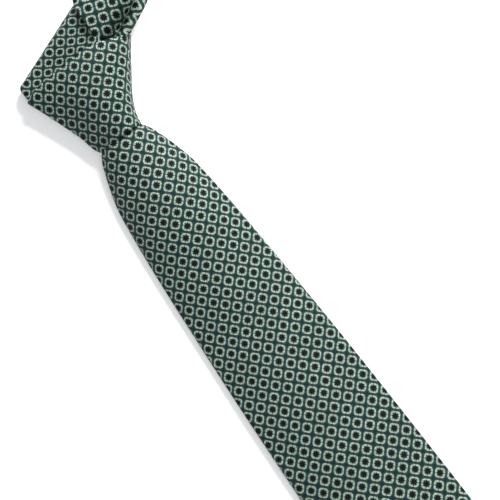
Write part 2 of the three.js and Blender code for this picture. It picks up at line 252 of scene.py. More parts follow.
silk, tree, shader = principled("silk_jacquard", PALE, 0.5)
shader.inputs["Specular IOR Level"].default_value = 0.12
cloth = cloth_place(tree, math.radians(45), 1 / REPEAT)
picks, twill, fuzz = weave(tree, cloth, PICKS, 1.0)
parts = tree.nodes.new("ShaderNodeSeparateXYZ")
tree.links.new(cloth, parts.inputs["Vector"])


def in_cell(value):
    """Where a point lies in its repeat, -0.5 to 0.5, half stepped by the threads."""
    thread_count = calc(tree, "ROUND", calc(tree, "MULTIPLY", value, PICKS))
    stepped = calc(tree, "DIVIDE", thread_count, PICKS)
    eased = calc(tree, "MULTIPLY_ADD", calc(tree, "SUBTRACT", stepped, value), 0.6, value)
    return calc(tree, "SUBTRACT", calc(tree, "FRACT", eased), 0.5)


def power_sum(first, second, power):
    first, second = calc(tree, "POWER", first, power), calc(tree, "POWER", second, power)
    return calc(tree, "POWER", calc(tree, "ADD", first, second), 1 / power)


x, y = in_cell(parts.outputs["X"]), in_cell(parts.outputs["Y"])
wide, high = calc(tree, "ABSOLUTE", x), calc(tree, "ABSOLUTE", y)
angle = calc(tree, "ARCTAN2", y, x)
four = calc(tree, "COSINE", calc(tree, "MULTIPLY", angle, 4.0))
points = calc(tree, "COSINE", calc(tree, "MULTIPLY", angle, STAR_POINTS))
notch = calc(tree, "POWER", calc(tree, "MAXIMUM", four, 0.0), 8.0)
outline = calc(tree, "MULTIPLY_ADD", notch, 0.03, power_sum(wide, high, RING_SQUARENESS))
square = ramp(tree, outline, *RING_OUTSIDE)
inside_ring = ramp(tree, outline, *RING_INSIDE)
star_edge = calc(tree, "MULTIPLY_ADD", points, STAR_DEPTH, STAR_RADIUS)
star = ramp(tree, calc(tree, "SUBTRACT", power_sum(wide, high, 2.0), star_edge), 0.014, -0.014)
navy_spot = ramp(tree, calc(tree, "SUBTRACT", 1.0, calc(tree, "ADD", wide, high)), 0.26, 0.1)
gap = calc(tree, "MULTIPLY", ramp(tree, wide, 0.16, 0.06), ramp(tree, high, 0.4, 0.46))
dashes = speckle(tree, cloth, 7.0, 1)
# Painted sheen: the ground is painted lighter along the twill and in random dashes.
ground_share = calc(tree, "MULTIPLY_ADD", dashes, 2.2, -0.9)
ground_share = calc(tree, "MULTIPLY_ADD", twill, 0.4, ground_share, clamp=True)
ground = blended(tree, ground_share, GROUND, GROUND_LIT)
ground = blended(tree, gap, ground, BRONZE)
ground = blended(tree, navy_spot, ground, NAVY)
# Painted sheen: the pale floats are painted lighter along the picks and in random flecks.
lit_threads = calc(tree, "MULTIPLY_ADD", picks, 0.4, -1.15)
lit_threads = calc(tree, "MULTIPLY_ADD", fuzz, 2.9, lit_threads, clamp=True)
pale = blended(tree, lit_threads, PALE, PALE_LIT)
pale = blended(tree, calc(tree, "MULTIPLY", inside_ring, dashes), pale, MOSS)
colour = blended(tree, square, ground, pale)
colour = blended(tree, star, colour, STAR)
tone = tree.nodes.new("ShaderNodeHueSaturation")
tree.links.new(colour, tone.inputs["Color"])
shade = speckle(tree, cloth, 0.35)
tree.links.new(calc(tree, "MULTIPLY_ADD", shade, 0.3, 0.85), tone.inputs["Value"])
tree.links.new(tone.outputs["Color"], shader.inputs["Base Color"])
floats = calc(tree, "MULTIPLY", square, calc(tree, "SUBTRACT", 1.0, star))
dullness = calc(tree, "MULTIPLY_ADD", fuzz, 0.12, 0.5)
tree.links.new(calc(tree, "MULTIPLY_ADD", floats, -0.16, dullness), shader.inputs["Roughness"])
ribs = calc(tree, "MULTIPLY_ADD", picks, floats, calc(tree, "MULTIPLY", twill, 0.6))
relief = calc(tree, "MULTIPLY_ADD", floats, 1.6, ribs)
raised(tree, shader, calc(tree, "MULTIPLY_ADD", fuzz, 0.8, relief), 0.07 * MM, 0.7)

# --- Wool, lining, satin and thread --------------------------------------------------------
# The brushed wool inside, the twill lining behind each point, the satin of the two labels,
# and the twisted thread that closes and tacks the strips.
wool, tree, shader = principled("wool_interlining", (0.78, 0.74, 0.65), 0.95)
cloth = cloth_place(tree, 0.0, 1000)
picks, twill, fuzz = weave(tree, cloth, 0.55, 0.0)
nap = speckle(tree, cloth, 2.2, 6)
nap_colour = blended(tree, nap, (0.66, 0.62, 0.53), (0.88, 0.85, 0.78))
tree.links.new(nap_colour, shader.inputs["Base Color"])
raised(tree, shader, calc(tree, "MULTIPLY_ADD", nap, 2.0, picks), 0.15 * MM)

lining, tree, shader = principled("lining_twill", (0.02, 0.045, 0.035), 0.35)
cloth = cloth_place(tree, 0.0, 1000)
picks, twill, fuzz = weave(tree, cloth, 2.6, 1.0)
share = calc(tree, "MULTIPLY_ADD", fuzz, 0.4, calc(tree, "MULTIPLY", twill, 0.6))
lining_colour = blended(tree, share, (0.012, 0.03, 0.024), (0.04, 0.085, 0.068))
tree.links.new(lining_colour, shader.inputs["Base Color"])
tree.links.new(calc(tree, "MULTIPLY_ADD", twill, 0.2, 0.28), shader.inputs["Roughness"])
raised(tree, shader, twill, 0.06 * MM)

satin, tree, shader = principled("label_satin", (0.012, 0.03, 0.026), 0.3)
cloth = cloth_place(tree, 0.0, 1000)
picks, twill, fuzz = weave(tree, cloth, 3.4, 0.0)
satin_colour = blended(tree, picks, (0.008, 0.02, 0.018), (0.03, 0.06, 0.052))
tree.links.new(satin_colour, shader.inputs["Base Color"])
tree.links.new(calc(tree, "MULTIPLY_ADD", fuzz, 0.25, 0.2), shader.inputs["Roughness"])
raised(tree, shader, picks, 0.05 * MM)

thread, tree, shader = principled("sewing_thread", (0.03, 0.08, 0.055), 0.6)
in_space = tree.nodes.new("ShaderNodeTexCoord")
strand = speckle(tree, in_space.outputs["Object"], 4200, 3)
thread_colour = blended(tree, strand, (0.02, 0.055, 0.04), (0.07, 0.15, 0.11))
tree.links.new(thread_colour, shader.inputs["Base Color"])
tree.links.new(calc(tree, "MULTIPLY_ADD", strand, 0.3, 0.45), shader.inputs["Roughness"])
raised(tree, shader, strand, 0.05 * MM)

# --- Front blade -----------------------------------------------------------------------------
# One panel of silk on the bias, folded round the interlining; its two flaps meet along
# the middle of the back and part in a V above the point. Near the knot it is arched.
CLOTH = 0.45
LINING = 0.3
WOOL = 0.9
STRIP = 3.0
EDGE = STRIP / 2
SEAM_GAP = 0.55
HEM = 8.0
SMALLEST_CUT = 10.0
BLADE_LENGTH = (mouth.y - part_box("blade_shell")[LOW][1]) / MM
BLADE_WIDTH = (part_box("blade_shell")[HIGH][0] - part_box("blade_shell")[LOW][0]) / MM
TAIL_LENGTH = (mouth.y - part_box("tail_shell")[LOW][1]) / MM
TAIL_WIDTH = (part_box("tail_shell")[HIGH][0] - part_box("tail_shell")[LOW][0]) / MM
TACK_ABOVE_POINT = 95
TIPPING_LENGTH = 110
INTERLINING_LEVEL = 0.3  # from the middle of the strip
TIPPING_LEVEL = -0.6
INTERLINING_INSET = CLOTH + 0.3
PULLED_TAIL = TAIL_LENGTH + 38  # the tail's point when it is pulled right down, and 3 of room


def mix(low, high, share):
    return low + (high - low) * share


def ease(share):
    share = min(max(share, 0.0), 1.0)
    return share * share * (3 - 2 * share)


def smooth(table, place):
    """Reads (place, value) pairs in rising order as a curve without overshoot."""
    if place <= table[0][0]:
        return table[0][1]
    if place >= table[-1][0]:
        return table[-1][1]
    i = next(i for i in range(len(table) - 1) if place <= table[i + 1][0])

    def chord(j):
        return (table[j + 1][1] - table[j][1]) / (table[j + 1][0] - table[j][0])

    def slope(j):
        if j == 0 or j == len(table) - 1:
            return chord(min(j, len(table) - 2))
        before, after = chord(j - 1), chord(j)
        return 0.0 if before * after <= 0 else 2 * before * after / (before + after)

    (from_place, low), (to_place, high) = table[i], table[i + 1]
    span = to_place - from_place
    t = (place - from_place) / span
    start, end = slope(i) * span, slope(i + 1) * span
    cubic = (2 * t**3 - 3 * t**2 + 1) * low + (t**3 - 2 * t**2 + t) * start
    return cubic + (3 * t**2 - 2 * t**3) * high + (t**3 - t**2) * end


def ripple(x, y, size, seed):
    """Soft unevenness of cloth, about -0.5 to 0.5."""
    return noise.noise(Vector((x / size, y / size, seed)))


# How the columns of a folded shell are shared out: flap, fold, front panel, fold, flap.
COLUMN_ENDS = (0, 9, 16, 38, 45, 54)
COLUMNS = COLUMN_ENDS[-1]


def folded(share, half, gap=SEAM_GAP, edge=EDGE):
    """A point of a folded shell's section: across, depth from its middle, and girth."""
    edge = min(edge, 0.8 * half)
    flat = half - edge
    turn = math.pi * edge
    flap = max(flat - gap, 0.05)
    ends = (-flat - turn - flap, -flat - turn, -flat, flat, flat + turn, flat + turn + flap)
    column = share * COLUMNS
    i = next(i for i in range(5) if column <= COLUMN_ENDS[i + 1] + 1e-6)
    inside = (column - COLUMN_ENDS[i]) / (COLUMN_ENDS[i + 1] - COLUMN_ENDS[i])
    girth = mix(ends[i], ends[i + 1], inside)
    side, length = math.copysign(1, girth), abs(girth)
    if length <= flat:
        return girth, edge, girth
    if length <= flat + turn:
        angle = (length - flat) / edge
        return side * (flat + edge * math.sin(angle)), edge * math.cos(angle), girth
    return side * (flat - (length - flat - turn)), -edge, girth


def sheet_of(name, columns, rows, lay, material, thickness, inward=True):
    """A sheet of cloth with its thickness. lay(p, q) takes a share across and a share
    along, and gives the place and where the point lies on the flat cloth, all in mm."""
    bm = bmesh.new()
    own_map = bm.loops.layers.uv.new("cloth")
    bmesh.ops.create_grid(bm, x_segments=columns, y_segments=rows, size=1)
    spots = {}
    for point in bm.verts:
        place, spots[point] = lay((point.co.x + 1) / 2, (point.co.y + 1) / 2)
        point.co = at(place[0], place[1], max(place[2], 0.05))
    for face in bm.faces:
        face.smooth = True
        for loop in face.loops:
            across, along = spots[loop.vert]
            loop[own_map].uv = (across * MM, along * MM)
    bmesh.ops.reverse_faces(bm, faces=bm.faces)
    mesh = bpy.data.meshes.new(name)
    bm.to_mesh(mesh)
    bm.free()
    mesh.materials.append(material)
    piece = bpy.data.objects.new(name, mesh)
    scene.collection.objects.link(piece)
    wall = piece.modifiers.new("wall", "SOLIDIFY")
    wall.thickness = thickness * MM
    wall.offset = -1 if inward else 0
    return piece


def flat_cut(lay, steps=48):
    """Width, length and area of a sheet's flat cut, in metres."""
    shares = [i / steps for i in range(steps + 1)]
    left = [Vector(lay(0, q)[1]) for q in shares]
    right = [Vector(lay(1, q)[1]) for q in shares]
    width = max((b - a).length for a, b in zip(left, right))
    middle = [(a + b) / 2 for a, b in zip(left, right)]
    length = sum((b - a).length for a, b in zip(middle, middle[1:]))
    outline = left + right[::-1]
    twice = sum(a.cross(b) for a, b in zip(outline, outline[1:] + outline[:1]))
    area = min(abs(twice) / 2, width * length)
    return (max(width, SMALLEST_CUT) * MM, max(length, SMALLEST_CUT) * MM), area * MM * MM


def filed(piece, body, node):
    """Files a piece: the body that it rides, and hides the solid that it stands for."""
    if body:
        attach(piece, body)
    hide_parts(node)


def declared(lay):
    flat, area = flat_cut(lay)


def strip_of(name, node, rows, shell, inner, body=None, body_blend=None, wool_wall=WOOL,
             wool_columns=16, cut=None, columns=COLUMNS):
    """A strip of the tie: its folded shell, and the interlining laid inside it."""
    silk_piece = sheet_of(f"{name}_silk", columns, rows, shell, silk, CLOTH)
    wool_piece = sheet_of(
        f"{name}_wool", wool_columns, rows // 2, inner, wool, wool_wall, inward=False
    )
    filed(silk_piece, body, f"{node}_shell")
    filed(wool_piece, body, f"{node}_interlining")
    declared(cut or shell)
    declared(inner)
    if body_blend:
        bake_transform(silk_piece)
        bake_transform(wool_piece)
    return silk_piece, wool_piece


GRAIN_TURN = math.radians(1)
GRAIN_STRETCH = 1.02
# Distance below the mouth, and along the cloth: steam pressing eases the wide end out.
EASED_CLOTH = [(-45, -45), (0, 0), (83, 83), (157, 156), (219, 215.5), (300, 290), (460, 433)]


def on_grain(across, along, turn, stretch):
    """Where a point lies on the bolt of cloth, which a strip is cut a little askew."""
    across, along = across * stretch, along / stretch
    return (
        across * math.cos(turn) + along * math.sin(turn),
        along * math.cos(turn) - across * math.sin(turn),
    )


class Blade:
    """A hanging strip below the knot. `down` is the distance below the mouth."""

    def __init__(self, length, width, widths, levels, arches, start, seed):
        self.length, self.seed, self.start = length, seed, start
        self.point = length - width / 2
        self.widths = [*widths, (self.point, width / 2)]
        self.levels, self.arches = levels, arches
        self.tack = length - TACK_ABOVE_POINT

    def half(self, down):
        if down > self.point:
            return max(self.length - down, 0.5)
        return smooth(self.widths, down)

    def gap(self, down):
        """Half the opening between the two flaps behind."""
        if down <= self.tack:
            return SEAM_GAP
        spread = ease((down - self.tack) / (self.point - self.tack))
        opening = mix(SEAM_GAP, self.half(down) - HEM, spread)
        return max(min(opening, self.half(down) - 3), 0.1)

    def arch(self, down):
        """Half the angle through which the strip bends across its width."""
        drop = smooth(self.arches, down)
        return 2 * math.atan(max(drop, 0.05) / self.half(down))

    def place(self, across, depth, down):
        """A point of the strip, arched down to the table on both sides."""
        half, arch = self.half(down), self.arch(down)
        wave = 0.35 * ripple(across, down, 45, self.seed) * ease(down / 60)
        radius = half / math.sin(arch)
        angle = arch * across / half
        z = smooth(self.levels, down) + (radius + depth) * math.cos(angle) - radius + wave
        return (radius + depth) * math.sin(angle), -down, z

    def down_at(self, q):
        return mix(self.start, self.length - 0.5, q**1.4)

    def shell(self, p, q):
        down = self.down_at(q)
        half, arch = self.half(down), self.arch(down)
        across, depth, girth = folded(p, half, self.gap(down))
        crown = 0.4 * (1 - (across / half) ** 2) if depth > 0 else 0.0
        around = girth * arch / math.sin(arch)
        along = smooth(EASED_CLOTH, down)
        eased = (smooth(EASED_CLOTH, down + 2) - smooth(EASED_CLOTH, down - 2)) / 4
        on_cloth = on_grain(around * eased, -along, GRAIN_TURN, GRAIN_STRETCH)
        return self.place(across, depth + crown, down), on_cloth

    def cut(self, p, q):
        """The same shell's place on its flat cut."""
        down = self.down_at(q)
        girth = folded(p, self.half(down), self.gap(down))[2]
        return None, (girth, -down)

    def layer(self, start, end, level, inset=INTERLINING_INSET, half=None):
        """A flat layer of the strip from start to end, as wide as it or of its own width."""

        def lay(p, q):
            down = mix(start, end, q)
            reach = half or max(self.half(down) - inset, 0.3)
            across = mix(-reach, reach, p)
            around = across * self.arch(down) / math.sin(self.arch(down))
            return self.place(across, level, down), (around, -down)

        return lay


blade = Blade(
    BLADE_LENGTH,
    BLADE_WIDTH,
    widths=[(-12, 8.0), (-1.5, 10.2), (0, 12.3), (1.2, 13.3), (7.7, 16.8), (35, 24.5),
            (121, 31.7), (198, 35.5), (300, 38.8)],
    levels=[(-12, 11), (0, 12.4), (35, 13.0), (80, 9.4), (120, 7.6), (180, 6.8), (PULLED_TAIL, 6.7),
            (PULLED_TAIL + 45, 1.7), (BLADE_LENGTH, 1.6)],
    arches=[(-12, 3), (0, 9.0), (35, 11.3), (80, 7.6), (120, 5.6), (180, 4.5), (PULLED_TAIL, 4.5),
            (PULLED_TAIL + 45, 0.1)],
    start=-11,
    seed=1.5,
)
mouth_bend = (at(0, 1, 12), at(0, -14, 12))
strip_of(
    "front_blade", "blade", 150, blade.shell,
    blade.layer(-10, BLADE_LENGTH - 6, INTERLINING_LEVEL),
    body_blend=("knot", "front_blade", *mouth_bend), cut=blade.cut,
)

# --- Front blade: tipping, seam, keeper and labels --------------------------------------------
# Behind the point the lining shows in the V between the flaps. A slip stitch closes them as
# far as a bar tack. The keeper loop of the same silk and two blank labels are sewn behind.


def tube_of(name, route, radius, rows, sides=6):
    """A round thread along route(q), in mm."""
    bm = bmesh.new()
    bmesh.ops.create_grid(bm, x_segments=sides, y_segments=rows, size=1)
    for point in bm.verts:
        q = (point.co.y + 1) / 2
        middle = Vector(route(q))
        run = (Vector(route(min(q + 1e-4, 1))) - Vector(route(max(q - 1e-4, 0)))).normalized()
        side = run.orthogonal().normalized()
        side = (Vector((0, 0, 1)).cross(run) if abs(run.z) < 0.95 else side).normalized()
        angle = math.pi * (point.co.x + 1)
        reach = radius * (0.35 if q in (0, 1) else 1)
        point.co = at(*(middle + reach * (math.cos(angle) * side + math.sin(angle) * run.cross(side))))
    bmesh.ops.remove_doubles(bm, verts=bm.verts, dist=1e-7)
    bmesh.ops.holes_fill(bm, edges=bm.edges, sides=sides)
    bmesh.ops.recalc_face_normals(bm, faces=bm.faces)
    for face in bm.faces:
        face.smooth = True
    mesh = bpy.data.meshes.new(name)
    bm.to_mesh(mesh)
    bm.free()
    mesh.materials.append(thread)
    piece = bpy.data.objects.new(name, mesh)
    scene.collection.objects.link(piece)
    return piece


THREAD_RADIUS = 0.16
STITCH = 6.0  # length of one slip stitch
TACK_PASSES = 9
TACK_ROWS = 120


def slip_stitch(strip, start):
    """A running zigzag between the two flaps, from inside the knot to the bar tack."""
    length = strip.tack - start
    passes = round(length / STITCH)

    def route(q):
        across = SEAM_GAP * math.sin(2 * math.pi * passes * q)
        sunk = 0.25 * math.cos(4 * math.pi * passes * q)
        return strip.place(across, CLOTH / 2 - EDGE + sunk, start + length * q)

    return route, passes * 10


def bar_tack(place, width, height):
    """Thread wrapped side by side over a bar. place(x, y, z) is around its middle."""

    def route(q):
        angle = 2 * math.pi * TACK_PASSES * q
        return place(0.5 * width * math.cos(angle), mix(-0.5, 0.5, q) * height, 0.18 * math.sin(angle))

    return route


def behind(strip, depth, across, down):
    """A small place frame behind a strip, for what is tacked there."""

    def place(x, y, z):
        return strip.place(across + x, depth + z, down - y)

    return place


def finish_blade(strip, name, node, body, stitch_from):
    """The tipping, slip stitch and bar tack behind a blade."""
    cover = strip.layer(strip.length - TIPPING_LENGTH, strip.length - 6, TIPPING_LEVEL)
    tipping = sheet_of(f"{name}_point_lining", 12, 44, cover, lining, LINING, inward=False)
    filed(tipping, body, f"{node}_tipping")
    declared(cover)
    route, rows = slip_stitch(strip, stitch_from)
    seam = tube_of(f"{name}_seam_thread", route, THREAD_RADIUS, rows)
    filed(seam, body, f"{node}_slip_stitch")
    over = behind(strip, CLOTH / 2 - EDGE, 0, strip.tack + 1)
    tack = tube_of(f"{name}_tack_thread", bar_tack(over, 2.2, 1.8), THREAD_RADIUS, TACK_ROWS)
    filed(tack, body, f"{node}_bar_tack")


finish_blade(blade, "front_blade", node="blade", body="front_blade", stitch_from=16)

KEEPER_AT, KEEPER_WIDTH, KEEPER_SPAN = BLADE_LENGTH - 210, 8, 34
LABEL_AT, LABEL_WIDTH, LABEL_SPAN = BLADE_LENGTH - 160, 24, 44
CARE_AT, CARE_WIDTH, CARE_SPAN = BLADE_LENGTH - 80, 8, 10


def patch(name, node, middle, width, span, depth, material, thickness):
    """A small flat piece sewn behind the front blade."""
    lay = blade.layer(middle - width / 2, middle + width / 2, depth, half=span / 2)
    piece = sheet_of(name, 24, 10, lay, material, thickness, inward=False)
    filed(piece, "front_blade", node)
    declared(lay)


KEEPER_DEPTH = -EDGE - 0.5
patch(
    "keeper", "keeper_loop", KEEPER_AT, KEEPER_WIDTH, KEEPER_SPAN, KEEPER_DEPTH,
    silk, CLOTH,
)
patch(
    "plain_label", "blank_label", LABEL_AT, LABEL_WIDTH, LABEL_SPAN, -EDGE - 0.3,
    satin, LINING,
)
patch(
    "washing_label", "care_label", CARE_AT, CARE_WIDTH, CARE_SPAN, CLOTH / 2 - EDGE,
    satin, LINING,
)
for side, word in ((-1, "left"), (1, "right")):
    over = behind(blade, KEEPER_DEPTH, side * (KEEPER_SPAN / 2 - 0.2), KEEPER_AT)
    route = bar_tack(over, 1.2, KEEPER_WIDTH - 1)
    tack = tube_of(f"keeper_tack_{word}_thread", route, THREAD_RADIUS, TACK_ROWS)
    filed(tack, "front_blade", f"keeper_tack_{word}")

# --- Tail ------------------------------------------------------------------------------------
# The narrow end is made as the front blade is. It runs out of the knot behind the blade and
# lies flat on the table, and it can be pulled to tighten the loop.
tail = Blade(
    TAIL_LENGTH,
    TAIL_WIDTH,
    widths=[(-45, 8.0), (2, 8.6), (30, 12.0), (200, 16.5)],
    levels=[(-45, 5), (-2, 5), (32, 1.6), (TAIL_LENGTH, 1.6)],
    arches=[(-45, 0.1), (TAIL_LENGTH, 0.1)],
    start=-44,
    seed=7.5,
)
strip_of(
    "tail", "tail", 120, tail.shell, tail.layer(-43, TAIL_LENGTH - 6, INTERLINING_LEVEL),
    body="tail", cut=tail.cut,
)
finish_blade(tail, "tail", node="tail", body="tail", stitch_from=-30)

# --- Front wrap --------------------------------------------------------------------------------
# The last turn of the front blade, folded along its mouth and its upper edge. It crosses
# the front of the knot, is creased sharply on the left and rolls over softly on the right.
WRAP_EDGE = 1.0
LEFT_EDGE = [(0, 13.3), (3.3, 15.2), (12.5, 17.4), (23.2, 21.2), (34, 25.2), (44.3, 29.4)]
RIGHT_EDGE = [(0, 13.2), (5.6, 14.1), (14.6, 18.0), (27.8, 26.7), (42.2, 36.6)]
TOP_EDGE = [(-29.4, 44.3), (-21.9, 47.4), (-5, 48.3), (5.5, 49.1), (15.4, 48.9), (22.6, 46.6),
            (36.6, 42.2)]
WRAP_HEIGHT = [(0, 16.8), (12, 19.4), (26, 21.4), (38, 21.4), (49, 19.6)]
LEFT_HEIGHT = [(0, 8.0), (20, 9.0), (46, 10.2)]
# The wrap's section from under its left fold, over the ridge, to under its right side: the
# share of its half width, the share of the ridge's rise over the left fold, and the level.
WRAP_SECTION = [
    (-0.72, 0, 0.7), (-0.92, 0, 0.6), (-1, 0, 2.4), (-1, -0.1, None), (-0.95, 0.02, None),
    (-0.55, 0.46, None), (-0.15, 0.84, None), (0.22, 1, None), (0.52, 0.94, None),
    (0.78, 0.66, None), (0.94, 0.22, None), (1, 0, 5.0), (0.96, 0, 1.6), (0.72, 0, 0.7),
]
WRAP_RIDGE = 7 / 13  # the ridge's share of the way through that section


def wrap_ring(y):
    """The wrap's section at one height, as points (x, z)."""
    left, right = smooth(LEFT_EDGE, y) - WRAP_EDGE, smooth(RIGHT_EDGE, y) - WRAP_EDGE
    low, high = smooth(LEFT_HEIGHT, y) - WRAP_EDGE, smooth(WRAP_HEIGHT, y) - WRAP_EDGE
    ring = []
    for share, rise, level in WRAP_SECTION:
        x = share * (left if share < 0 else right)
        ring.append(Vector((x, mix(low, high, rise) if level is None else level)))
    return ring


def wrap_middle(turn, y):
    """The middle of the wrap's cloth: turn runs from 0, under the left fold, to 1."""
    ring = wrap_ring(y)
    place = turn * (len(ring) - 1)
    i = min(int(place), len(ring) - 2)
    before = ring[i - 1] if i else 2 * ring[0] - ring[1]
    after = ring[i + 2] if i + 2 < len(ring) else 2 * ring[-1] - ring[-2]
    t = place - i
    a, b = ring[i], ring[i + 1]
    start, end = (b - before) / 2, (after - a) / 2
    return (
        (2 * t**3 - 3 * t**2 + 1) * a + (t**3 - 2 * t**2 + t) * start
        + (3 * t**2 - 2 * t**3) * b + (t**3 - t**2) * end
    )


def wrap_surface(turn, y, depth):
    middle = wrap_middle(turn, y)
    run = wrap_middle(min(turn + 0.004, 1), y) - wrap_middle(max(turn - 0.004, 0), y)
    normal = Vector((-run.y, run.x)).normalized()
    over = math.sin(math.pi * turn) ** 2
    x, z = middle + depth * normal
    return x, y, z + 0.6 * over * ripple(x, y, 15, 3.3)


def wrap_top(turn):
    return smooth(TOP_EDGE, wrap_middle(turn, 44).x)


def wrap_around(turn, y):
    """Cloth from the ridge of the wrap round to a turn, at one height."""
    steps = 24
    route = [wrap_middle(mix(WRAP_RIDGE, turn, i / steps), y) for i in range(steps + 1)]
    length = sum((b - a).length for a, b in zip(route, route[1:]))
    return math.copysign(length, turn - WRAP_RIDGE) + wrap_middle(WRAP_RIDGE, y).x


WRAP_PATTERN = math.radians(2.5)


def wrap_shell(p, q):
    half = wrap_top(q) / 2
    across, depth, girth = folded(p, half, edge=WRAP_EDGE)
    around = wrap_around(q, half + across)
    return wrap_surface(q, half + across, depth), on_grain(around, half + girth, WRAP_PATTERN, 1)


def wrap_wool(p, q):
    half = wrap_top(q) / 2
    across = mix(-1, 1, p) * (half - INTERLINING_INSET)
    return wrap_surface(q, half + across, 0), (wrap_around(q, half), across)


WRAP_WOOL = 0.7
strip_of(
    "front_wrap", "knot_front_wrap", 130, wrap_shell, wrap_wool, body="knot", wool_wall=WRAP_WOOL
)

# --- Back pass ---------------------------------------------------------------------------------
# The turn of the front blade behind the knot. It is folded like the rest of the strip, holds
# its own length of interlining, and lies flat on the table, held by the turns over it.
BACK_LEVEL = 1.6
BACK_HALF = 21.5
BACK_WOOL_HALF = 20.7
BACK_REACH = 0.74  # share of the knot's half width that it covers


def back_pass(layer):
    def lay(p, q):
        share = mix(-BACK_REACH, BACK_REACH, q)
        if layer == "silk":
            across, depth, girth = folded(p, BACK_HALF)
        else:
            across, depth, girth = mix(-BACK_WOOL_HALF, BACK_WOOL_HALF, p), 0, 0
        y = BACK_HALF + across + 1
        side = smooth(LEFT_EDGE if share < 0 else RIGHT_EDGE, y)
        along = share * side
        return (along, y, BACK_LEVEL + depth), (along, girth if layer == "silk" else across)

    return lay


strip_of("back_pass", "knot_back_pass", 30, back_pass("silk"), back_pass("wool"), body="knot")

# --- Tongue ------------------------------------------------------------------------------------
# The front blade comes up behind the knot, rolls over the top and goes down inside the wrap,
# to leave through its mouth. It is lower on the left, where the knot is thin.
TONGUE_LEFT = -28.6
TONGUE_RIGHT = 22.0
TONGUE_EDGE = 64.1  # from the mouth to its rolled edge, along the middle of the knot
TONGUE_SLANT = 0.37  # how far that edge moves up for each mm to the right
BACK_LOW, BACK_HIGH = 2.2, 5.0  # level of its hidden layer behind, left and right
ROLL_LOW, ROLL_HIGH = 2.3, 5.35  # radius of the roll at its left and right ends
BEHIND = 16.0  # cloth behind the roll
TONGUE_END = 11.0  # where the tongue meets the blade, inside the mouth
TONGUE_WIDE = [(TONGUE_END, 8.2), (24, 13.5), (40, 22.5), (48, 24.8)]
TONGUE_MIDDLE = [(TONGUE_END, 0), (40, -1.2), (47, -2.7), (71, -3.3)]


def tongue_surface(share, along, depth):
    """A point of the tongue: share is -1 at its left edge, along starts behind the knot."""
    level_share = (share + 1) / 2
    radius, back = mix(ROLL_LOW, ROLL_HIGH, level_share), mix(BACK_LOW, BACK_HIGH, level_share)
    x_at_roll = mix(TONGUE_LEFT, TONGUE_RIGHT, level_share)
    centre = TONGUE_EDGE + TONGUE_SLANT * x_at_roll - radius - EDGE
    rolled = along - BEHIND
    if rolled < 0:
        return x_at_roll * (1 - 0.35 * ease(-rolled / BEHIND)), centre + rolled, back - depth
    if rolled < math.pi * radius:
        angle = rolled / radius - math.pi / 2
        reach = radius + depth
        z = back + radius + reach * math.sin(angle)
        return x_at_roll, centre + reach * math.cos(angle), z
    y = max(centre - (rolled - math.pi * radius), TONGUE_END)
    front = back + 2 * radius
    inner = smooth([(TONGUE_END, 11.0), (24, min(front, 13.0)), (46, front)], y)
    spread = ease((y - 38) / 10)
    x = mix(smooth(TONGUE_MIDDLE, y) + share * smooth(TONGUE_WIDE, y), x_at_roll, spread)
    sag = 0.6 * math.sin(math.pi * min(max((centre - y) / 14, 0), 1)) * spread
    return x, y, inner + depth - sag + 0.5 * ripple(x, y, 18, 9.1)


def tongue_length(share):
    level_share = (share + 1) / 2
    radius = mix(ROLL_LOW, ROLL_HIGH, level_share)
    x_at_roll = mix(TONGUE_LEFT, TONGUE_RIGHT, level_share)
    centre = TONGUE_EDGE + TONGUE_SLANT * x_at_roll - radius - EDGE
    return BEHIND + math.pi * radius + centre - TONGUE_END


TONGUE_HALF = (TONGUE_RIGHT - TONGUE_LEFT) / 2
TONGUE_ROW = Vector((4.78, -2.88))  # one repeat of the pattern along a row, seen from above
TONGUE_COLUMN = Vector((3.33, 3.87))  # and up a column


def tongue_on_cloth(across, along):
    """Where a point of the tongue lies on the cloth, which leans away to its left."""
    area = TONGUE_ROW.cross(TONGUE_COLUMN)
    spot = Vector((across, along))
    row, column = spot.cross(TONGUE_COLUMN) / area, TONGUE_ROW.cross(spot) / area
    half_turn = math.sqrt(0.5) * REPEAT / MM
    return (row + column) * half_turn, (column - row) * half_turn


def tongue_shell(p, q):
    across, depth, girth = folded(p, TONGUE_HALF)
    share = across / TONGUE_HALF
    length = tongue_length(share)
    place = tongue_surface(share, q * length, depth)
    up = TONGUE_END + (1 - q) * length
    return place, tongue_on_cloth(place[0] + girth - across, up)


def tongue_cut(p, q):
    across, depth, girth = folded(p, TONGUE_HALF)
    return None, (girth, -q * tongue_length(across / TONGUE_HALF))


def tongue_wool(p, q):
    share = mix(-1, 1, p) * (1 - INTERLINING_INSET / TONGUE_HALF)
    along = mix(0.01, 0.99, q) * tongue_length(share)
    return tongue_surface(share, along, INTERLINING_LEVEL), (share * TONGUE_HALF, -along)


strip_of("tongue", "knot_tongue", 90, tongue_shell, tongue_wool, body="knot", cut=tongue_cut)

# --- Neckband: the leg of the front blade --------------------------------------------------------
# The strip runs from under the wrap's upper right corner, over the tongue's end, and spreads
# into the neckband. The knot pinches it into one deep pleat that fades out along it.
NECK_ANGLE = math.radians(24)
NECK_WIDTH = 35
NECK_HALF = NECK_WIDTH / 2
JOIN_AT = 62
NECK_STRETCH = 1.07
neck_start = Vector((31.4, 53.2))
neck_out = Vector((math.cos(NECK_ANGLE), math.sin(NECK_ANGLE)))
neck_side = Vector((-neck_out.y, neck_out.x))


def neck_plan(s, n):
    """The place on the table of a point s out along the legs and n to their left."""
    return neck_start + s * neck_out + n * neck_side


UPPER_SIDE = [
    (-30, 2.0), (-16, 2.6), (-10.9, 4.3), (-7, 11.0), (-3.2, 18.3), (0, 22.3), (5, 23.0),
    (20, 23.6), (34, 27), (46, 32.8), (JOIN_AT, 40.3),
]
LOWER_SIDE = [
    (-30, -7), (-12, -8.5), (-4, -10.2), (0.3, -12.2), (16, -12.1), (26, -10.2), (34, -7.6),
    (46, -2.3), (JOIN_AT, 5.3),
]
